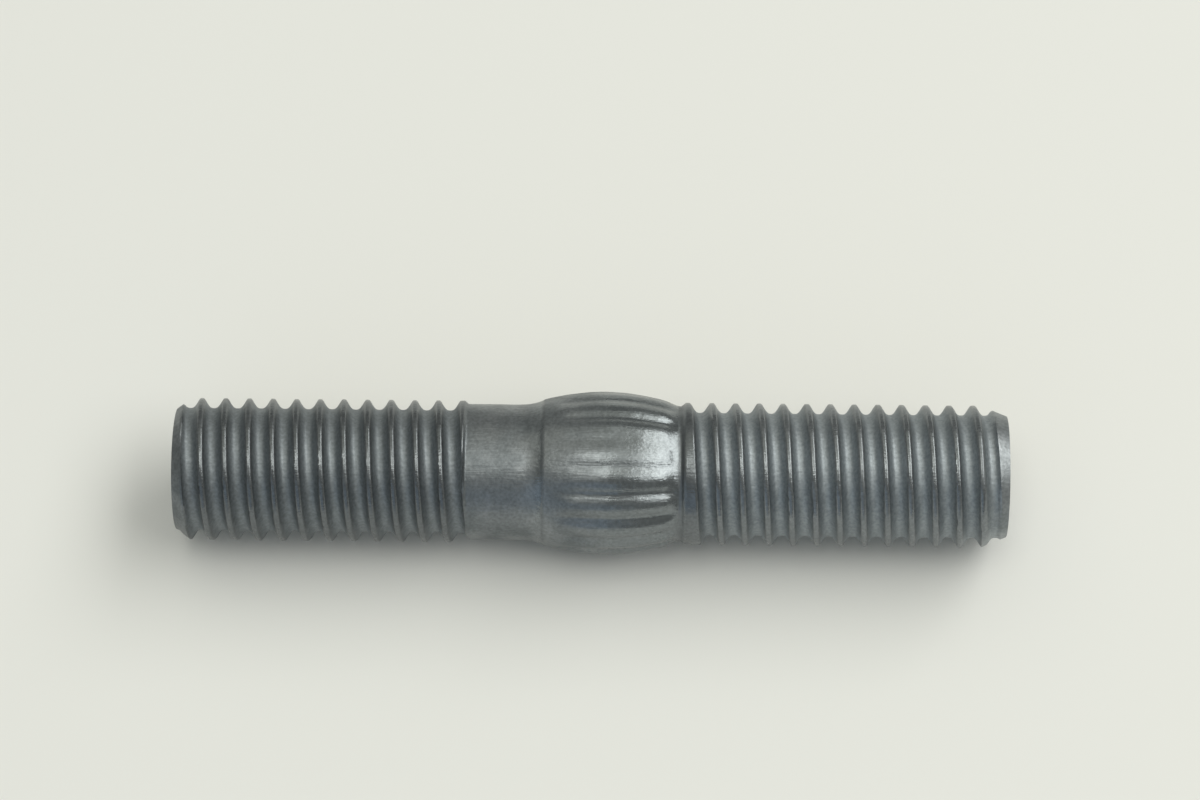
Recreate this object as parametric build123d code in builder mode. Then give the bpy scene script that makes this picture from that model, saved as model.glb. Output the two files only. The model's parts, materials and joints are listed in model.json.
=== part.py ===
from build123d import *
import math
import os

# Double ended stud, M6 x 1 x 35, formed from one steel bar.
# Each end has a rolled right-hand thread. Between them are a plain neck, a serrated collar
# and a short shoulder.
# The stud is made upright, from the face of its short thread upwards, and is then laid along X
# on the two serrations that it comes to rest on.

# Thread, a 60 degree form whose flats take the place of the rolled thread's round crests and roots
thread_radius = 3.0
thread_pitch = 1.0
thread_depth = 0.32
crest_flat = 0.2
flank_angle = 30.0

# Part of a turn over which each groove grows shallow and leaves the bar
run_out_turns = 0.5

# Lengths along the axis
short_thread_length = 12.3
neck_length = 3.2
collar_length = 5.65
shoulder_length = 0.35
long_thread_length = 13.5

# Tapers that lead a nut on, one long and one short, both down to an end face of the same size
taper_depth = 0.44
short_taper_length = 0.6
long_taper_length = 1.1

# Neck and shoulder, which lie a little below the crests, and the neck's flare up to the collar
neck_drop = 0.14
neck_step_length = 0.15
shoulder_drop = 0.16
shoulder_step_length = 0.25
flare_length = 0.9
flare_height = 0.2

# Collar, crowned like a barrel and proud of the threads, with a bevel on the long thread's side
collar_rise = 0.44
crown_drop = 0.36
bevel_length = 0.5

# Serrations, which run along the collar and sink deeper towards the long thread
serration_count = 18
serration_depth = 0.24
serration_width = 0.64
serration_slope = 3.5

# How far round the axis each thread starts
short_thread_start_angle = 108.0
long_thread_start_angle = 90.0

# How far the cutters stand out of the surface that they cut
cutter_clearance = 0.1

end_face_radius = thread_radius - taper_depth
neck_radius = thread_radius - neck_drop
shoulder_radius = thread_radius - shoulder_drop
collar_radius = thread_radius + collar_rise
crown_edge_radius = collar_radius - crown_drop
collar_start = short_thread_length + neck_length
collar_end = collar_start + collar_length
bevel_start = collar_end - bevel_length
crown_height = (collar_start + bevel_start) / 2
long_thread_start = collar_end + shoulder_length
stud_length = long_thread_start + long_thread_length


def groove_piece(pitch, height, opening_angle):
    """Cutter for a stretch of groove, from Z zero up, on a cylinder or on a cone that opens upwards."""
    root_radius = thread_radius - thread_depth
    root_flat = thread_pitch - crest_flat - 2 * thread_depth * math.tan(math.radians(flank_angle))
    cutter_height = thread_depth + cutter_clearance
    mouth_width = root_flat + 2 * cutter_height * math.tan(math.radians(flank_angle))
    with BuildPart() as piece:
        with BuildLine() as path:
            Helix(pitch, height, root_radius, cone_angle=opening_angle)
        with BuildSketch(Plane(origin=path.line @ 0, x_dir=(1, 0, 0), z_dir=path.line % 0)):
            with Locations((cutter_height / 2, 0)):
                Trapezoid(mouth_width, cutter_height, 90 - flank_angle, rotation=90)
        sweep(path=path.line, is_frenet=True)
    return piece.part


def thread_groove(thread_length):
    """Cutters for one thread: whole turns from beyond its end face at Z zero, then the run-out."""
    turns = math.floor(thread_length / thread_pitch)
    run_out_height = run_out_turns * thread_pitch
    run_out_angle = math.degrees(math.atan2(thread_depth + cutter_clearance, run_out_height))
    one_turn = groove_piece(thread_pitch, thread_pitch, 0)
    run_out_pitch = thread_pitch / math.cos(math.radians(run_out_angle))
    run_out = groove_piece(run_out_pitch, run_out_height, run_out_angle)
    pieces = [Pos(0, 0, turn * thread_pitch) * one_turn for turn in range(-1, turns)]
    return [*pieces, Pos(0, 0, turns * thread_pitch) * run_out]


# The V tool that forms one serration, pointing at the axis and sinking as it runs up the collar
land_edge_radius = math.sqrt(collar_radius**2 - (serration_width / 2) ** 2)
valley_radius = collar_radius - serration_depth
tool_height = serration_depth + cutter_clearance
tool_half_width = serration_width / 2 / (land_edge_radius - valley_radius) * tool_height
tool_sink = math.tan(math.radians(serration_slope))
tool_start_radius = valley_radius + tool_sink * (crown_height - collar_start)
with BuildPart() as serration:
    with BuildSketch(Plane.XY.offset(collar_start)):
        with BuildLine():
            Polyline(
                (-tool_start_radius, 0),
                (-tool_start_radius - tool_height, tool_half_width),
                (-tool_start_radius - tool_height, -tool_half_width),
                close=True,
            )
        make_face()
    extrude(amount=collar_length / math.cos(math.radians(serration_slope)), dir=(tool_sink, 0, 1))

with BuildPart() as upright:
    with BuildSketch(Plane.XZ):
        with BuildLine():
            lower_end = Polyline(
                (0, 0),
                (end_face_radius, 0),
                (thread_radius, short_taper_length),
                (thread_radius, short_thread_length - neck_step_length),
                (neck_radius, short_thread_length),
                (neck_radius, collar_start - flare_length),
            )
            flare = Bezier(
                lower_end @ 1,
                (neck_radius, collar_start - flare_length / 2),
                (neck_radius + flare_height, collar_start),
            )
            lip = Line(flare @ 1, (crown_edge_radius, collar_start))
            crown = ThreePointArc(lip @ 1, (collar_radius, crown_height), (crown_edge_radius, bevel_start))
            Polyline(
                crown @ 1,
                (shoulder_radius, collar_end),
                (shoulder_radius, long_thread_start - shoulder_step_length),
                (thread_radius, long_thread_start),
                (thread_radius, stud_length - long_taper_length),
                (end_face_radius, stud_length),
                (0, stud_length),
                (0, 0),
            )
        make_face()
    revolve(axis=Axis.Z)
    with PolarLocations(0, serration_count):
        add(serration.part, mode=Mode.SUBTRACT)
    with Locations(Location((0, 0, 0), (0, 0, short_thread_start_angle))):
        add(thread_groove(short_thread_length), mode=Mode.SUBTRACT)
    with Locations(Location((0, 0, stud_length), (180, 0, long_thread_start_angle))):
        add(thread_groove(long_thread_length), mode=Mode.SUBTRACT)

# Laid along X, short thread first, with the ground at Z zero under the middle of its length
laid_down = Plane(origin=(-stud_length / 2, 0, land_edge_radius), x_dir=(0, 0, 1), z_dir=(1, 0, 0))
with BuildPart(laid_down) as stud:
    add(upright.part)
stud.part.label = "stud"

os.makedirs("parts", exist_ok=True)
export_step(stud.part, "parts/stud.step")
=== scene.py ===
import json
import math
import bpy
from mathutils import Matrix, Vector


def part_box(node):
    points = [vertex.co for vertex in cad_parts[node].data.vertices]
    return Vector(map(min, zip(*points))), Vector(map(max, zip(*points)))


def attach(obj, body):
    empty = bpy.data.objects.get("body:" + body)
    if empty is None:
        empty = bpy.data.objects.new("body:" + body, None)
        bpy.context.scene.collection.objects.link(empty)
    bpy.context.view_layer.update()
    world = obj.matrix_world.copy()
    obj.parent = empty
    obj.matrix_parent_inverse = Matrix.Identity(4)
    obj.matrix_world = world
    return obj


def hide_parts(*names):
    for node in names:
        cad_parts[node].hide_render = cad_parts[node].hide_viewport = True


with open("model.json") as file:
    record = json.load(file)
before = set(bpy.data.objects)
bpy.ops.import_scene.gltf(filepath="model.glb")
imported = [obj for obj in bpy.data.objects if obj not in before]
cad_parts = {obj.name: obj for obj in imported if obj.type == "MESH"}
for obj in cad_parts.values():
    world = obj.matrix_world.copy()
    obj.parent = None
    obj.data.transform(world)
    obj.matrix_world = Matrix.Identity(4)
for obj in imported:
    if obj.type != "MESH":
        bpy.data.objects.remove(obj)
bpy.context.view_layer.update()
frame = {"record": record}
mm = 0.001

mounts = {mount["name"]: mount for mount in frame["record"]["mounts"]}
studLow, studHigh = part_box("stud")
axisHeight = mounts["short_thread"]["pos_m"][2]
collarMiddle = mounts["serrated_collar"]["pos_m"][0] - studLow.x
collarLong = mounts["serrated_collar"]["dims"]["length_mm"]
print("frame: stud is", round((studHigh.x - studLow.x) / mm, 2), "mm long")


def linearColour(hexColour):  # sRGB hex to linear red, green, blue and alpha
    parts = [int(hexColour[i:i + 2], 16) / 255 for i in (1, 3, 5)]
    return [p / 12.92 if p <= 0.04045 else ((p + 0.055) / 1.055) ** 2.4 for p in parts] + [1.0]


def addNode(tree, kind, links=(), **settings):
    # Links go by socket name, or in order. Each is a value, a socket, or a node, for its first live output
    node = tree.nodes.new(kind)
    for name, value in settings.items():
        setattr(node, name, value)
    liveInputs = [socket for socket in node.inputs if socket.enabled]
    named = links.items() if isinstance(links, dict) else zip(liveInputs, links)
    for key, value in named:
        socket = node.inputs[key] if isinstance(key, str) else key
        if isinstance(value, bpy.types.Node):
            value = next(output for output in value.outputs if output.enabled)
        if isinstance(value, bpy.types.NodeSocket):
            tree.links.new(value, socket)
        else:
            socket.default_value = value
    return node


# Zinc-plated steel

# How far the plate is smoothed: 0 in the thread roots and 1 where the dies pressed the collar hardest
plainBurnish = 0.5
creaseBurnish = 0.55
crestBurnish = 0.75
pressedBurnish = 0.8

zincLook = {
    "burnished": "#7F8487",
    "plate": "#8A8E91",
    "dullPlate": "#73787B",
    # painted shade on the crests
    "wornCrest": "#74787B",
    # painted light in the roots
    "rootBloom": "#8F9599",
    # painted shade in the crease and the corner under the bevel
    "cornerDirt": "#63676A",
    "clouds": 1.5,      # mm across a cloud of duller plate
    "cloudLimits": (0.35, 0.65),  # of the noise, between the dull plate and the plain
    "grain": 0.13,      # mm; real zinc crystals are about 0.02 mm, drawn coarser so that they show
    "grainLimits": (0.3, 0.7),
    "grainTones": (0.82, 1.12),
    "grainHeight": 0.012,
    "grainStrength": 0.6,
    "drawLines": 0.08,  # mm between forming lines, along the bar
    "lineStretch": 0.06,
    "bloomEnd": 0.45,   # burnish at which no painted light is left in the roots
    "wearLimits": (0.35, 0.85),
    "roughRoot": 0.62,
    "roughPlate": 0.42,
    "smoothCrest": 0.26,
    "roughLimits": (0.3, 1.5),
    "roughSpread": 0.07,
    "shortTone": 0.92,  # painted shade: the short thread is drawn as the darkest stretch of plate
    "shortToneEnds": (-6.0, -5.0),  # mm from the middle of the bar
    "longTone": 1.22,   # painted light: the long thread is drawn the palest
    "longToneStarts": (4.0, 6.0),
    "corners": [(0.0, 0.14), (5.85, 0.5)],  # mm past the collar's start, and mm that the painted shade spreads from there
    "cornerShare": 0.5,
}


def zincPlatedSteel():
    # Electroplated zinc over rolled steel gives a dull cool grey with a satin grain, smoother where the dies
    # pressed the collar. Painted shade darkens the crests, the corners and the short thread; painted light
    # brightens the roots and the long thread
    look = zincLook
    material = bpy.data.materials.new("zinc plated steel")
    material.use_nodes = True
    tree = material.node_tree
    tree.nodes.clear()
    place = addNode(tree, "ShaderNodeTexCoord").outputs["Object"]
    inMillimetres = addNode(tree, "ShaderNodeMapping", {"Vector": place, "Scale": (1 / mm, 1 / mm, 1 / mm)})
    burnish = addNode(tree, "ShaderNodeAttribute", attribute_name="burnish").outputs["Fac"]
    clouds = addNode(tree, "ShaderNodeTexNoise", {"Vector": inMillimetres, "Scale": 1 / look["clouds"],
                                                  "Detail": 4.0})
    grain = addNode(tree, "ShaderNodeTexNoise", {"Vector": inMillimetres, "Scale": 1 / look["grain"],
                                                 "Detail": 2.0})
    stretched = addNode(tree, "ShaderNodeMapping", {"Vector": inMillimetres,
                                                    "Scale": (look["lineStretch"], 1.0, 1.0)})
    lines = addNode(tree, "ShaderNodeTexNoise", {"Vector": stretched, "Scale": 1 / look["drawLines"],
                                                 "Detail": 1.0})

    cloudShare = addNode(tree, "ShaderNodeMapRange", [clouds, *look["cloudLimits"], 0.0, 1.0])
    plate = addNode(tree, "ShaderNodeMix", [cloudShare, linearColour(look["dullPlate"]),
                                            linearColour(look["plate"])], data_type="RGBA")
    pressed = addNode(tree, "ShaderNodeMapRange", [burnish, plainBurnish, pressedBurnish, 0.0, 1.0])
    pressedPlate = addNode(tree, "ShaderNodeMix", [pressed, plate, linearColour(look["burnished"])],
                           data_type="RGBA")
    # Painted light: the roots are drawn paler, standing in for light scattered between the flanks
    rootLightShare = addNode(tree, "ShaderNodeMapRange", [burnish, 0.0, look["bloomEnd"], 1.0, 0.0])
    rootLit = addNode(tree, "ShaderNodeMix", [rootLightShare, pressedPlate, linearColour(look["rootBloom"])],
                      data_type="RGBA")
    # Painted shade: the crests are drawn darker, standing in for the dark surroundings they reflect
    crest = addNode(tree, "ShaderNodeAttribute", attribute_name="crest").outputs["Fac"]
    crestShadeShare = addNode(tree, "ShaderNodeMapRange", [crest, *look["wearLimits"], 0.0, 1.0])
    crestShaded = addNode(tree, "ShaderNodeMix", [crestShadeShare, rootLit, linearColour(look["wornCrest"])], data_type="RGBA")
    grainShare = addNode(tree, "ShaderNodeMapRange", [grain, *look["grainLimits"], *look["grainTones"]])
    across = addNode(tree, "ShaderNodeSeparateXYZ", [inMillimetres]).outputs["X"]
    # Painted light and shade along the bar: the short thread is drawn darker and the long thread paler, as if
    # lit from the long thread's side
    shortTone = addNode(tree, "ShaderNodeMapRange", [across, *look["shortToneEnds"], look["shortTone"], 1.0])
    longTone = addNode(tree, "ShaderNodeMapRange", [across, *look["longToneStarts"], 1.0, look["longTone"]])
    sideLightAndShade = addNode(tree, "ShaderNodeMath", [shortTone, longTone], operation="MULTIPLY")
    grainAndSideLight = addNode(tree, "ShaderNodeMath", [grainShare, sideLightAndShade], operation="MULTIPLY")
    colour = addNode(tree, "ShaderNodeVectorMath", {"Vector": crestShaded, "Scale": grainAndSideLight}, operation="SCALE")

    # Painted shade in the crease and in the corner under the bevel
    for start, spread in look["corners"]:
        corner = studSizes["Collar Start"] - studSizes["Bar Length"] / 2 + start
        apart = addNode(tree, "ShaderNodeMath", [across, corner], operation="SUBTRACT")
        distance = addNode(tree, "ShaderNodeMath", [apart], operation="ABSOLUTE")
        paintedShade = addNode(tree, "ShaderNodeMapRange", [distance, 0.0, spread, look["cornerShare"], 0.0],
                       interpolation_type="SMOOTHSTEP")
        colour = addNode(tree, "ShaderNodeMix", [paintedShade, colour, linearColour(look["cornerDirt"])],
                         data_type="RGBA")

    unevenness = addNode(tree, "ShaderNodeMath", [lines, cloudShare], operation="ADD")
    roughSpread = addNode(tree, "ShaderNodeMapRange", [unevenness, *look["roughLimits"],
                                                       look["roughSpread"], -look["roughSpread"]])
    roughPlate = addNode(tree, "ShaderNodeMapRange", [burnish, 0.0, plainBurnish, look["roughRoot"],
                                                      look["roughPlate"]])
    smoothing = addNode(tree, "ShaderNodeMapRange", [burnish, creaseBurnish, pressedBurnish, 0.0,
                                                     look["roughPlate"] - look["smoothCrest"]])
    roughBase = addNode(tree, "ShaderNodeMath", [roughPlate, smoothing], operation="SUBTRACT")
    roughness = addNode(tree, "ShaderNodeMath", [roughBase, roughSpread], operation="ADD", use_clamp=True)

    relief = addNode(tree, "ShaderNodeMath", [grain, lines], operation="ADD")
    bump = addNode(tree, "ShaderNodeBump", {"Height": relief, "Strength": look["grainStrength"],
                                            "Distance": look["grainHeight"] * mm})
    shader = addNode(tree, "ShaderNodeBsdfPrincipled", {"Base Color": colour, "Roughness": roughness,
                                                        "Metallic": 1.0, "Normal": bump})
    addNode(tree, "ShaderNodeOutputMaterial", {"Surface": shader})
    return material


# The stud: one skin wound along the thread's own helix, so that crests and roots stay crisp

# In millimetres and degrees. Angles go round the axis from the far side up over the top towards the front
studSizes = {
    "Bar Length": (studHigh.x - studLow.x) / mm,
    "Axis Height": axisHeight / mm,
    "Thread Radius": mounts["short_thread"]["dims"]["r_mm"],
    "Thread Pitch": 1.0,
    "Thread Depth": 0.42,
    "Crest Flat": 0.17,
    "Crest Round": 0.06,
    "Root Round": 0.32,
    "Short Groove Angle": 198.0,
    "Long Groove Angle": 0.0,
    "Short Thread Length": mounts["short_thread"]["dims"]["length_mm"],
    "Long Thread Length": mounts["long_thread"]["dims"]["length_mm"],
    "Run-out Turns": 0.5,
    "Taper Depth": 0.44,
    "Short Taper": 0.6,
    "Long Taper": 1.1,
    "Neck Drop": 0.14,
    "Neck Step": 0.15,
    "Shoulder Drop": 0.16,
    "Shoulder Step": 0.25,
    "Flare Length": 0.9,
    "Flare Rise": 0.2,
    "Collar Start": collarMiddle / mm - collarLong / 2,
    "Collar Length": collarLong,
    "Collar Radius": mounts["serrated_collar"]["dims"]["r_mm"],
    "Crown Drop": 0.36,
    "Bevel Length": 0.5,
    "Serration Count": 18.0,
    "Serration Depth": 0.16,
    "Serration Fade": 1.4,
    "First Valley Angle": 10.0,
    "Edge Round": 0.06,
    "Shoulder Round": 0.15,
    "Dent Depth": 0.012,
    "Dent Width": 0.9,
}
flankSlope = 1 / math.tan(math.radians(30))  # rise of a 60 degree thread's flank for each step along the bar
creaseSlope = 2.5             # rise of the collar's edge above the crease for each step along the bar
creaseBlend = 0.01            # mm; the crease stays sharp
serrationStart = 0.2          # mm of plain collar past the crease
serrationNarrowing = 1.7      # how much narrower a valley is than the land beside it
serrationSeed = 3288
serrationShares = (0.1, 1.3)  # the shallowest and the deepest valley, as shares of Serration Depth
dentLimits = (0.3, 0.7)       # of the noise that makes the knocks
dentShares = (-1.0, 0.4)      # how far knocks go in and the skin stands out, as shares of Dent Depth
crestRadii = (2.88, 2.99)     # mm; crests of the first radius aren't worn, and those of the second fully are
collarShineMargin = 1.2       # mm from each end of the collar; its burnish grows between them
rowsPerTurn = 18              # points along one pitch of thread
columnsPerSerration = 8
rowCrowding = 0.5             # how far rows gather at crests and roots
evenTurns = 0.2               # turns beside each rim where rows don't gather at all
columnCrowding = 1.65         # degrees that columns move towards a valley
capTurns = 0.4                # turns of the skin that close each end face
slipStart = 0.6               # mm past the short thread where the rows start to slip
weldDistance = 0.001          # mm
softEdgeAngle = 50.0          # degrees; sharper edges stay crisp


def barEnvelope(tree, size, along):
    # Radius of the turned bar with its collar, before threads and serrations
    longEdge = addNode(tree, "ShaderNodeMath", [size["Bar Length"], size["Long Taper"]],
                       operation="SUBTRACT")
    neckEdge = addNode(tree, "ShaderNodeMath", [size["Short Thread Length"], size["Neck Step"]],
                       operation="SUBTRACT")
    longStart = addNode(tree, "ShaderNodeMath", [size["Bar Length"], size["Long Thread Length"]],
                        operation="SUBTRACT")
    shoulderEdge = addNode(tree, "ShaderNodeMath", [longStart, size["Shoulder Step"]], operation="SUBTRACT")
    downTaper = addNode(tree, "ShaderNodeMath", [size["Taper Depth"], -1.0], operation="MULTIPLY")
    downNeck = addNode(tree, "ShaderNodeMath", [size["Neck Drop"], -1.0], operation="MULTIPLY")
    neckToShoulder = addNode(tree, "ShaderNodeMath", [size["Neck Drop"], size["Shoulder Drop"]],
                             operation="SUBTRACT")
    steps = [  # where each change of radius starts and ends, and what it adds before and after
        (0.0, size["Short Taper"], downTaper, 0.0, "LINEAR"),
        (longEdge, size["Bar Length"], 0.0, downTaper, "LINEAR"),
        (neckEdge, size["Short Thread Length"], 0.0, downNeck, "SMOOTHSTEP"),
        (size["Collar Start"], longStart, 0.0, neckToShoulder, "SMOOTHSTEP"),
        (shoulderEdge, longStart, 0.0, size["Shoulder Drop"], "SMOOTHSTEP"),
    ]
    radius = size["Thread Radius"]
    for start, end, before, after, shape in steps:
        change = addNode(tree, "ShaderNodeMapRange", [along, start, end, before, after],
                         interpolation_type=shape)
        radius = addNode(tree, "ShaderNodeMath", [radius, change], operation="ADD")

    # The neck flares up to the collar and stops at its crease
    flareStart = addNode(tree, "ShaderNodeMath", [size["Collar Start"], size["Flare Length"]],
                         operation="SUBTRACT")
    flareShare = addNode(tree, "ShaderNodeMapRange", [along, flareStart, size["Collar Start"], 0.0, 1.0])
    flareCurve = addNode(tree, "ShaderNodeMath", [flareShare, 2.0], operation="POWER")
    flare = addNode(tree, "ShaderNodeMath", [flareCurve, size["Flare Rise"]], operation="MULTIPLY")
    onNeck = addNode(tree, "ShaderNodeMath", [along, size["Collar Start"]], operation="LESS_THAN")
    neckFlare = addNode(tree, "ShaderNodeMath", [flare, onNeck], operation="MULTIPLY")
    bar = addNode(tree, "ShaderNodeMath", [radius, neckFlare], operation="ADD")

    # The crown, cut off by a steep edge at the crease and by the bevel at the other end
    collarEnd = addNode(tree, "ShaderNodeMath", [size["Collar Start"], size["Collar Length"]],
                        operation="ADD")
    bevelStart = addNode(tree, "ShaderNodeMath", [collarEnd, size["Bevel Length"]], operation="SUBTRACT")
    crownSum = addNode(tree, "ShaderNodeMath", [size["Collar Start"], bevelStart], operation="ADD")
    crownMiddle = addNode(tree, "ShaderNodeMath", [crownSum, 0.5], operation="MULTIPLY")
    halfCrown = addNode(tree, "ShaderNodeMath", [bevelStart, crownMiddle], operation="SUBTRACT")
    fromMiddle = addNode(tree, "ShaderNodeMath", [along, crownMiddle], operation="SUBTRACT")
    crownShare = addNode(tree, "ShaderNodeMath", [fromMiddle, halfCrown], operation="DIVIDE")
    crownSquare = addNode(tree, "ShaderNodeMath", [crownShare, crownShare], operation="MULTIPLY")
    crownFall = addNode(tree, "ShaderNodeMath", [crownSquare, size["Crown Drop"]], operation="MULTIPLY")
    crown = addNode(tree, "ShaderNodeMath", [size["Collar Radius"], crownFall], operation="SUBTRACT")

    bevelRadius = addNode(tree, "ShaderNodeMath", [size["Collar Radius"], size["Crown Drop"]],
                          operation="SUBTRACT")
    shoulder = addNode(tree, "ShaderNodeMath", [size["Thread Radius"], size["Shoulder Drop"]],
                       operation="SUBTRACT")
    bevelFall = addNode(tree, "ShaderNodeMath", [bevelRadius, shoulder], operation="SUBTRACT")
    bevelSlope = addNode(tree, "ShaderNodeMath", [bevelFall, size["Bevel Length"]], operation="DIVIDE")
    pastBevel = addNode(tree, "ShaderNodeMath", [along, bevelStart], operation="SUBTRACT")
    bevelDip = addNode(tree, "ShaderNodeMath", [pastBevel, bevelSlope], operation="MULTIPLY")
    bevel = addNode(tree, "ShaderNodeMath", [bevelRadius, bevelDip], operation="SUBTRACT")
    pastCrease = addNode(tree, "ShaderNodeMath", [along, size["Collar Start"]], operation="SUBTRACT")
    crease = addNode(tree, "ShaderNodeMath", [pastCrease, creaseSlope, bevelRadius],
                     operation="MULTIPLY_ADD")
    crowned = addNode(tree, "ShaderNodeMath", [crown, bevel, size["Edge Round"]], operation="SMOOTH_MIN")
    edged = addNode(tree, "ShaderNodeMath", [crowned, crease, size["Edge Round"]], operation="SMOOTH_MIN")
    blend = addNode(tree, "ShaderNodeMix", [onNeck, size["Shoulder Round"], creaseBlend])
    envelope = addNode(tree, "ShaderNodeMath", [bar, edged, blend], operation="SMOOTH_MAX")
    return envelope, collarEnd


def withSerrations(tree, size, envelope, along, turn, collarEnd):
    # Valleys along the collar, which fade out towards the crease. Some are rolled deeper than others
    turnsIn = addNode(tree, "ShaderNodeMath", [size["First Valley Angle"], 360.0], operation="DIVIDE")
    fromFirst = addNode(tree, "ShaderNodeMath", [turn, turnsIn], operation="SUBTRACT")
    valleys = addNode(tree, "ShaderNodeMath", [fromFirst, size["Serration Count"]], operation="MULTIPLY")
    nearest = addNode(tree, "ShaderNodeMath", [valleys], operation="ROUND")
    whole = addNode(tree, "ShaderNodeMath", [nearest, size["Serration Count"]], operation="FLOORED_MODULO")
    uneven = addNode(tree, "FunctionNodeRandomValue", {"ID": whole, "Seed": serrationSeed}, data_type="FLOAT")
    uneven.inputs[2].default_value, uneven.inputs[3].default_value = serrationShares  # the float Min and Max

    waveAngle = addNode(tree, "ShaderNodeMath", [valleys, 2 * math.pi], operation="MULTIPLY")
    wave = addNode(tree, "ShaderNodeMath", [waveAngle], operation="COSINE")
    waveShare = addNode(tree, "ShaderNodeMath", [wave, 0.5, 0.5], operation="MULTIPLY_ADD")
    narrowed = addNode(tree, "ShaderNodeMath", [waveShare, serrationNarrowing], operation="POWER")
    fadeStart = addNode(tree, "ShaderNodeMath", [size["Collar Start"], serrationStart], operation="ADD")
    fadeEnd = addNode(tree, "ShaderNodeMath", [fadeStart, size["Serration Fade"]], operation="ADD")
    fadeIn = addNode(tree, "ShaderNodeMapRange", [along, fadeStart, fadeEnd, 0.0, 1.0],
                     interpolation_type="SMOOTHSTEP")
    bevelStart = addNode(tree, "ShaderNodeMath", [collarEnd, size["Bevel Length"]], operation="SUBTRACT")
    fadeOut = addNode(tree, "ShaderNodeMapRange", [along, bevelStart, collarEnd, 1.0, 0.0])
    bothFades = addNode(tree, "ShaderNodeMath", [fadeIn, fadeOut], operation="MULTIPLY")
    faded = addNode(tree, "ShaderNodeMath", [narrowed, bothFades], operation="MULTIPLY")
    depth = addNode(tree, "ShaderNodeMath", [size["Serration Depth"], uneven], operation="MULTIPLY")
    sunk = addNode(tree, "ShaderNodeMath", [faded, depth], operation="MULTIPLY")
    return addNode(tree, "ShaderNodeMath", [envelope, sunk], operation="SUBTRACT")


def withThreads(tree, size, envelope, along, turn):
    # Both 60 degree threads are right-hand, with rounded crests and roots, and each runs out of the bar
    shortWhole = addNode(tree, "ShaderNodeMath", [size["Short Thread Length"]], operation="FLOOR")
    longWhole = addNode(tree, "ShaderNodeMath", [size["Long Thread Length"]], operation="FLOOR")
    longWholeStart = addNode(tree, "ShaderNodeMath", [size["Bar Length"], longWhole], operation="SUBTRACT")
    onLong = addNode(tree, "ShaderNodeMath", [along, size["Collar Start"]], operation="GREATER_THAN")
    startAngle = addNode(tree, "ShaderNodeMix", [onLong, size["Short Groove Angle"],
                                                 size["Long Groove Angle"]])
    startTurn = addNode(tree, "ShaderNodeMath", [startAngle, 360.0], operation="DIVIDE")
    pitches = addNode(tree, "ShaderNodeMath", [along, size["Thread Pitch"]], operation="DIVIDE")
    unwound = addNode(tree, "ShaderNodeMath", [pitches, turn], operation="SUBTRACT")
    phase = addNode(tree, "ShaderNodeMath", [unwound, startTurn], operation="ADD")
    nearest = addNode(tree, "ShaderNodeMath", [phase], operation="ROUND")
    offTurns = addNode(tree, "ShaderNodeMath", [phase, nearest], operation="SUBTRACT")
    offset = addNode(tree, "ShaderNodeMath", [offTurns, size["Thread Pitch"]], operation="MULTIPLY")
    grooveAlong = addNode(tree, "ShaderNodeMath", [along, offset], operation="SUBTRACT")
    distance = addNode(tree, "ShaderNodeMath", [offset], operation="ABSOLUTE")

    # Root, flanks and the open V above them
    flankWidth = addNode(tree, "ShaderNodeMath", [size["Thread Depth"], 2 / flankSlope],
                         operation="MULTIPLY")
    taken = addNode(tree, "ShaderNodeMath", [flankWidth, size["Crest Flat"]], operation="ADD")
    rootFlat = addNode(tree, "ShaderNodeMath", [size["Thread Pitch"], taken], operation="SUBTRACT")
    halfRoot = addNode(tree, "ShaderNodeMath", [rootFlat, 0.5], operation="MULTIPLY")
    upFlank = addNode(tree, "ShaderNodeMath", [distance, halfRoot], operation="SUBTRACT")
    flankRise = addNode(tree, "ShaderNodeMath", [upFlank, flankSlope], operation="MULTIPLY")
    roundRoot = addNode(tree, "ShaderNodeMath", [flankRise, 0.0, size["Root Round"]], operation="SMOOTH_MAX")
    rootRadius = addNode(tree, "ShaderNodeMath", [size["Thread Radius"], size["Thread Depth"]],
                         operation="SUBTRACT")
    groove = addNode(tree, "ShaderNodeMath", [rootRadius, roundRoot], operation="ADD")

    # The groove rises out of the bar past its last whole turn
    shortOut = addNode(tree, "ShaderNodeMath", [shortWhole, size["Run-out Turns"]], operation="ADD")
    longOut = addNode(tree, "ShaderNodeMath", [longWholeStart, size["Run-out Turns"]], operation="SUBTRACT")
    shortLift = addNode(tree, "ShaderNodeMapRange", [grooveAlong, shortWhole, shortOut, 0.0, 1.0])
    longLift = addNode(tree, "ShaderNodeMapRange", [grooveAlong, longOut, longWholeStart, 1.0, 0.0])
    bothLifts = addNode(tree, "ShaderNodeMath", [shortLift, longLift], operation="MULTIPLY")
    lift = addNode(tree, "ShaderNodeMath", [bothLifts, size["Thread Depth"]], operation="MULTIPLY")
    lifted = addNode(tree, "ShaderNodeMath", [groove, lift], operation="ADD")
    cut = addNode(tree, "ShaderNodeMath", [envelope, lifted, size["Crest Round"]], operation="SMOOTH_MIN")
    almostOut = 0.999  # share of the lift past which the groove has left the bar
    ended = addNode(tree, "ShaderNodeMath", [bothLifts, almostOut], operation="GREATER_THAN")
    return addNode(tree, "ShaderNodeMix", [ended, cut, envelope])


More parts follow.
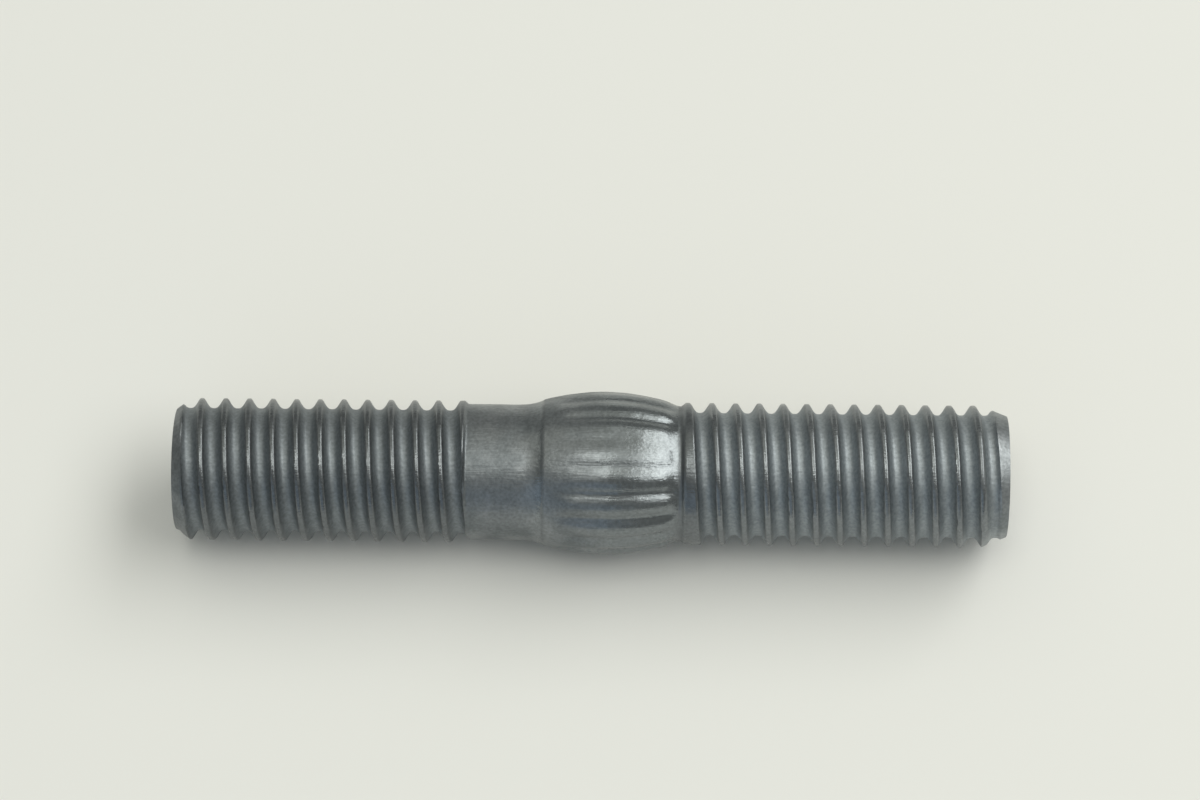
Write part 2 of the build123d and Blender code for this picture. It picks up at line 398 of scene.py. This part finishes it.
def buildStudTree(material):
    tree = bpy.data.node_groups.new("stud", "GeometryNodeTree")
    tree.is_modifier = True
    tree.interface.new_socket("Geometry", in_out="OUTPUT", socket_type="NodeSocketGeometry")
    for name, value in studSizes.items():
        tree.interface.new_socket(name, in_out="INPUT", socket_type="NodeSocketFloat").default_value = value
    size = addNode(tree, "NodeGroupInput").outputs

    # Grid whose rows run along the bar and whose columns go round it
    turns = math.ceil(studSizes["Bar Length"] / studSizes["Thread Pitch"] + 2 * capTurns) + 1
    columns = int(studSizes["Serration Count"]) * columnsPerSerration
    rows = turns * rowsPerTurn
    grid = addNode(tree, "GeometryNodeMeshGrid", {"Size X": 1.0, "Size Y": 1.0, "Vertices X": rows + 1,
                                                  "Vertices Y": columns + 1})
    spot = addNode(tree, "ShaderNodeSeparateXYZ", [addNode(tree, "GeometryNodeInputPosition")]).outputs
    rowShare = addNode(tree, "ShaderNodeMath", [spot["X"], 0.5], operation="ADD")
    columnShare = addNode(tree, "ShaderNodeMath", [spot["Y"], 0.5], operation="ADD")

    # Share of a turn, with columns drawn towards the serration valleys
    valleyTurn = addNode(tree, "ShaderNodeMath", [size["First Valley Angle"], 360.0], operation="DIVIDE")
    pastValley = addNode(tree, "ShaderNodeMath", [columnShare, valleyTurn], operation="SUBTRACT")
    waves = addNode(tree, "ShaderNodeMath", [pastValley, size["Serration Count"]], operation="MULTIPLY")
    waveAngle = addNode(tree, "ShaderNodeMath", [waves, 2 * math.pi], operation="MULTIPLY")
    wave = addNode(tree, "ShaderNodeMath", [waveAngle], operation="SINE")
    turn = addNode(tree, "ShaderNodeMath", [wave, -columnCrowding / 360, columnShare],
                   operation="MULTIPLY_ADD")

    # The two threads aren't in step, so the rows slip over the neck and collar to meet the second one
    turnsApart = (studSizes["Short Groove Angle"] - studSizes["Long Groove Angle"]) / 360 % 1
    slip = turnsApart * studSizes["Thread Pitch"]
    collarEnd = studSizes["Collar Start"] + studSizes["Collar Length"]

    # Turns along the helix, with rows drawn towards crests and roots, but evenly spaced near the end faces
    firstTurn = 1.5  # turns of the grid before the short thread's end face
    lastTurn = (studSizes["Bar Length"] - slip) / studSizes["Thread Pitch"] + firstTurn
    row = addNode(tree, "ShaderNodeMath", [rowShare, float(turns)], operation="MULTIPLY")
    rowPhase = addNode(tree, "ShaderNodeMath", [row, firstTurn - studSizes["Short Groove Angle"] / 360],
                       operation="SUBTRACT")
    rowAngle = addNode(tree, "ShaderNodeMath", [rowPhase, 4 * math.pi], operation="MULTIPLY")
    rowWave = addNode(tree, "ShaderNodeMath", [rowAngle], operation="SINE")
    evenlyWound = addNode(tree, "ShaderNodeMath", [row, turn], operation="ADD")
    pastFirst = addNode(tree, "ShaderNodeMapRange", [evenlyWound, firstTurn + evenTurns,
                                                     firstTurn + evenTurns + 1, 0.0, 1.0])
    fullCrowding = -rowCrowding / (4 * math.pi)
    beforeLast = addNode(tree, "ShaderNodeMapRange", [evenlyWound, lastTurn - evenTurns - 1,
                                                      lastTurn - evenTurns, fullCrowding, 0.0])
    crowding = addNode(tree, "ShaderNodeMath", [pastFirst, beforeLast], operation="MULTIPLY")
    drawn = addNode(tree, "ShaderNodeMath", [rowWave, crowding, row], operation="MULTIPLY_ADD")
    wound = addNode(tree, "ShaderNodeMath", [drawn, turn], operation="ADD")
    fromFace = addNode(tree, "ShaderNodeMath", [wound, firstTurn], operation="SUBTRACT")
    advance = addNode(tree, "ShaderNodeMath", [fromFace, size["Thread Pitch"]], operation="MULTIPLY")
    slipped = addNode(tree, "ShaderNodeMapRange", [advance, studSizes["Short Thread Length"] + slipStart,
                                                   collarEnd - slip, 0.0, slip],
                      interpolation_type="SMOOTHSTEP")
    reach = addNode(tree, "ShaderNodeMath", [advance, slipped], operation="ADD")

    # The row nearest to each end face moves onto its rim
    halfRow = studSizes["Thread Pitch"] / rowsPerTurn / 2
    for rim in (0.0, studSizes["Bar Length"]):
        atRim = addNode(tree, "ShaderNodeMath", [reach, rim, halfRow], operation="COMPARE")
        reach = addNode(tree, "ShaderNodeMix", [atRim, reach, rim])
    along = addNode(tree, "ShaderNodeClamp", [reach, 0.0, size["Bar Length"]])

    envelope, collarEndSocket = barEnvelope(tree, size, along)
    serrated = withSerrations(tree, size, envelope, along, turn, collarEndSocket)
    threaded = withThreads(tree, size, serrated, along, turn)

    # Rolling marks and knocks, about a hundredth of a millimetre deep
    angle = addNode(tree, "ShaderNodeMath", [turn, 2 * math.pi], operation="MULTIPLY")
    sideways = addNode(tree, "ShaderNodeMath", [angle], operation="COSINE")
    upwards = addNode(tree, "ShaderNodeMath", [angle], operation="SINE")
    flatY = addNode(tree, "ShaderNodeMath", [sideways, threaded], operation="MULTIPLY")
    flatZ = addNode(tree, "ShaderNodeMath", [upwards, threaded], operation="MULTIPLY")
    surface = addNode(tree, "ShaderNodeCombineXYZ", [along, flatY, flatZ])
    finest = addNode(tree, "ShaderNodeMath", [1.0, size["Dent Width"]], operation="DIVIDE")
    dents = addNode(tree, "ShaderNodeTexNoise", {"Vector": surface, "Scale": finest, "Detail": 3.0})
    dented = addNode(tree, "ShaderNodeMapRange", [dents, *dentLimits, *dentShares])
    depth = addNode(tree, "ShaderNodeMath", [dented, size["Dent Depth"]], operation="MULTIPLY")
    knocked = addNode(tree, "ShaderNodeMath", [threaded, depth], operation="ADD")

    # End faces: the skin's spare turns draw in to the axis
    under = addNode(tree, "ShaderNodeMapRange", [reach, -capTurns, 0.0, 0.0, 1.0])
    capEnd = addNode(tree, "ShaderNodeMath", [size["Bar Length"], capTurns], operation="ADD")
    over = addNode(tree, "ShaderNodeMapRange", [reach, size["Bar Length"], capEnd, 1.0, 0.0])
    openShare = addNode(tree, "ShaderNodeMath", [under, over], operation="MULTIPLY")
    radius = addNode(tree, "ShaderNodeMath", [knocked, openShare], operation="MULTIPLY")

    # Lay the skin along X, on the serration edges, and bring it to metres
    y = addNode(tree, "ShaderNodeMath", [sideways, radius], operation="MULTIPLY")
    z = addNode(tree, "ShaderNodeMath", [upwards, radius, size["Axis Height"]], operation="MULTIPLY_ADD")
    half = addNode(tree, "ShaderNodeMath", [size["Bar Length"], 0.5], operation="MULTIPLY")
    x = addNode(tree, "ShaderNodeMath", [along, half], operation="SUBTRACT")
    place = addNode(tree, "ShaderNodeCombineXYZ", [x, y, z])
    scaled = addNode(tree, "ShaderNodeVectorMath", {"Vector": place, "Scale": mm}, operation="SCALE")

    # Burnish: none in the roots, some on the neck and crests, and most on the collar that the dies pressed
    below = addNode(tree, "ShaderNodeMath", [serrated, threaded], operation="SUBTRACT")
    upFlank = addNode(tree, "ShaderNodeMapRange", [below, 0.0, size["Thread Depth"], 1.0, 0.0])
    clearOfRoot = addNode(tree, "ShaderNodeMath", [upFlank, 2.0], operation="POWER")
    fullRadius = addNode(tree, "ShaderNodeMapRange", [serrated, *crestRadii, 0.0, 1.0])
    crestShine = addNode(tree, "ShaderNodeMath", [fullRadius, crestBurnish - plainBurnish, plainBurnish],
                         operation="MULTIPLY_ADD")
    shineStart = studSizes["Collar Start"] + collarShineMargin
    collarShine = addNode(tree, "ShaderNodeMapRange", [along, shineStart, collarEnd - collarShineMargin,
                                                       creaseBurnish, 1.0], interpolation_type="SMOOTHSTEP")
    pastCrease = addNode(tree, "ShaderNodeMath", [along, size["Collar Start"]], operation="GREATER_THAN")
    beforeEnd = addNode(tree, "ShaderNodeMath", [along, collarEndSocket], operation="LESS_THAN")
    onCollar = addNode(tree, "ShaderNodeMath", [pastCrease, beforeEnd], operation="MULTIPLY")
    shine = addNode(tree, "ShaderNodeMix", [onCollar, crestShine, collarShine])
    burnish = addNode(tree, "ShaderNodeMath", [clearOfRoot, shine], operation="MULTIPLY")
    longStart = studSizes["Bar Length"] - studSizes["Long Thread Length"]
    onShort = addNode(tree, "ShaderNodeMath", [along, size["Short Thread Length"]], operation="LESS_THAN")
    onLong = addNode(tree, "ShaderNodeMath", [along, longStart], operation="GREATER_THAN")
    onThread = addNode(tree, "ShaderNodeMath", [onShort, onLong], operation="MAXIMUM")
    crestHere = addNode(tree, "ShaderNodeMath", [fullRadius, onThread], operation="MULTIPLY")
    crest = addNode(tree, "ShaderNodeMath", [clearOfRoot, crestHere], operation="MULTIPLY")

    # Both values go on the grid's points before these move, and the skin is then laid, closed and smoothed
    shone = addNode(tree, "GeometryNodeStoreNamedAttribute", {"Geometry": grid, "Name": "burnish",
                                                              "Value": burnish},
                    data_type="FLOAT", domain="POINT")
    kept = addNode(tree, "GeometryNodeStoreNamedAttribute", {"Geometry": shone, "Name": "crest",
                                                             "Value": crest},
                   data_type="FLOAT", domain="POINT")
    laid = addNode(tree, "GeometryNodeSetPosition", {"Geometry": kept, "Position": scaled})
    closed = addNode(tree, "GeometryNodeMergeByDistance", {"Geometry": laid, "Distance": weldDistance * mm})
    split = addNode(tree, "GeometryNodeTriangulate", {"Mesh": closed})
    outward = addNode(tree, "GeometryNodeFlipFaces", {"Mesh": split})
    smooth = addNode(tree, "GeometryNodeSetShadeSmooth", {"Geometry": outward, "Shade Smooth": True},
                     domain="FACE")
    edgeAngle = addNode(tree, "GeometryNodeInputMeshEdgeAngle").outputs["Unsigned Angle"]
    softEdge = addNode(tree, "ShaderNodeMath", [edgeAngle, math.radians(softEdgeAngle)],
                       operation="LESS_THAN")
    creased = addNode(tree, "GeometryNodeSetShadeSmooth", {"Geometry": smooth, "Shade Smooth": softEdge},
                      domain="EDGE")
    real = addNode(tree, "GeometryNodeRealizeInstances", {"Geometry": creased})
    coated = addNode(tree, "GeometryNodeSetMaterial", {"Geometry": real, "Material": material})
    addNode(tree, "NodeGroupOutput", {"Geometry": coated})
    return tree


def buildStud():
    tree = buildStudTree(zincPlatedSteel())
    holder = bpy.data.objects.new("studHolder", bpy.data.meshes.new("studHolder"))
    bpy.context.scene.collection.objects.link(holder)
    nodes = holder.modifiers.new("stud", "NODES")
    nodes.node_group = tree
    for item in tree.interface.items_tree:
        if item.in_out == "INPUT":
            nodes[item.identifier] = studSizes[item.name]
    evaluated = holder.evaluated_get(bpy.context.evaluated_depsgraph_get())
    mesh = bpy.data.meshes.new_from_object(evaluated)
    holder.modifiers.clear()
    bpy.data.objects.remove(holder)
    stud = bpy.data.objects.new("plated_stud", mesh)
    bpy.context.scene.collection.objects.link(stud)
    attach(stud, "root")
    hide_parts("stud")
    print("stud:", len(mesh.vertices), "points,", len(mesh.polygons), "faces")
    return stud


# Floor, light and camera

floorLook = {"side": 3.0, "colour": "#E8E8E5", "rough": 0.9, "specular": 0.2}
# Name, radiance, width along the bar, length round it, distance in metres, degrees round the stud's axis,
# degrees of lean towards the long thread, colour
lights = [
    ("panel", 2.9, 0.30, 0.82, 0.6, 79.0, 34.0, "#FFFFFA"),
    ("ceiling", 2.8, 0.17, 0.27, 0.6, 98.0, -6.0, "#FFFFF8"),
    ("skylight", 0.34, 1.0, 0.8, 0.6, 74.0, -2.0, "#FFFFEE"),
    ("window", 0.27, 0.8, 0.5, 0.6, 160.0, -28.0, "#A8D0F6"),
]
worldLook = {"colour": "#FDFFF8", "strength": 0.34}
cameraPlace = {
    "elevation": 65.7,      # degrees
    "distance": 190 * mm,
    "alongBar": 3.1 * mm,   # the lens stands a little towards the long thread
    "aimRight": 0.34 * mm,
    "aimUp": 3.08 * mm,
    "roll": 0.59,
    "fieldOfView": 15.2,
    "clipStart": 10 * mm,
}


def buildFloor():
    half = floorLook["side"] / 2
    mesh = bpy.data.meshes.new("floor")
    corners = [(-half, -half, 0), (half, -half, 0), (half, half, 0), (-half, half, 0)]
    mesh.from_pydata(corners, [], [(0, 1, 2, 3)])
    floor = bpy.data.objects.new("floor", mesh)
    bpy.context.scene.collection.objects.link(floor)
    material = bpy.data.materials.new("matt board")
    material.use_nodes = True
    tree = material.node_tree
    tree.nodes.clear()
    shader = addNode(tree, "ShaderNodeBsdfPrincipled", {"Base Color": linearColour(floorLook["colour"]),
                                                        "Roughness": floorLook["rough"],
                                                        "Specular IOR Level": floorLook["specular"]})
    addNode(tree, "ShaderNodeOutputMaterial", {"Surface": shader})
    mesh.materials.append(material)


def buildLight():
    for name, radiance, width, length, distance, angle, lean, colour in lights:
        lamp = bpy.data.lights.new(name, "AREA")
        lamp.shape = "RECTANGLE"
        lamp.size = width
        lamp.size_y = length
        lamp.color = linearColour(colour)[:3]
        lamp.energy = radiance * math.pi * width * length
        holder = bpy.data.objects.new(name, lamp)
        turn, side = math.radians(angle), math.radians(lean)
        direction = Vector((math.sin(side), math.cos(side) * math.cos(turn), math.cos(side) * math.sin(turn)))
        holder.location = direction * distance
        across = Vector((math.cos(side), -math.sin(side) * math.cos(turn), -math.sin(side) * math.sin(turn)))
        around = direction.cross(across)
        holder.rotation_euler = Matrix((across, around, direction)).transposed().to_euler()
        bpy.context.scene.collection.objects.link(holder)
    world = bpy.data.worlds.new("studio")
    world.use_nodes = True
    world.node_tree.nodes.clear()
    sky = addNode(world.node_tree, "ShaderNodeBackground", {"Color": linearColour(worldLook["colour"]),
                                                           "Strength": worldLook["strength"]})
    addNode(world.node_tree, "ShaderNodeOutputWorld", {"Surface": sky})
    bpy.context.scene.world = world


def buildCamera():
    lens = bpy.data.cameras.new("camera")
    lens.sensor_fit = "HORIZONTAL"
    lens.angle = math.radians(cameraPlace["fieldOfView"])
    lens.clip_start = cameraPlace["clipStart"]
    tilt = math.radians(cameraPlace["elevation"])
    back = Vector((0, -math.cos(tilt), math.sin(tilt)))
    middle = Vector(((studLow.x + studHigh.x) / 2, 0, axisHeight))
    eye = middle + back * cameraPlace["distance"] + Vector((cameraPlace["alongBar"], 0, 0))
    panLeft = math.atan2(cameraPlace["alongBar"] - cameraPlace["aimRight"], cameraPlace["distance"])
    tiltUp = math.atan2(cameraPlace["aimUp"], cameraPlace["distance"])
    facing = Matrix.Rotation(math.pi / 2 - tilt, 4, "X")
    facing = facing @ Matrix.Rotation(panLeft, 4, "Y") @ Matrix.Rotation(tiltUp, 4, "X")
    facing = facing @ Matrix.Rotation(math.radians(cameraPlace["roll"]), 4, "Z")
    camera = bpy.data.objects.new("camera", lens)
    camera.matrix_world = Matrix.Translation(eye) @ facing
    bpy.context.scene.collection.objects.link(camera)
    bpy.context.scene.camera = camera


buildStud()
buildFloor()
buildLight()
buildCamera()
bpy.context.scene.view_settings.view_transform = "Standard"
print("floor, light and camera are in place")
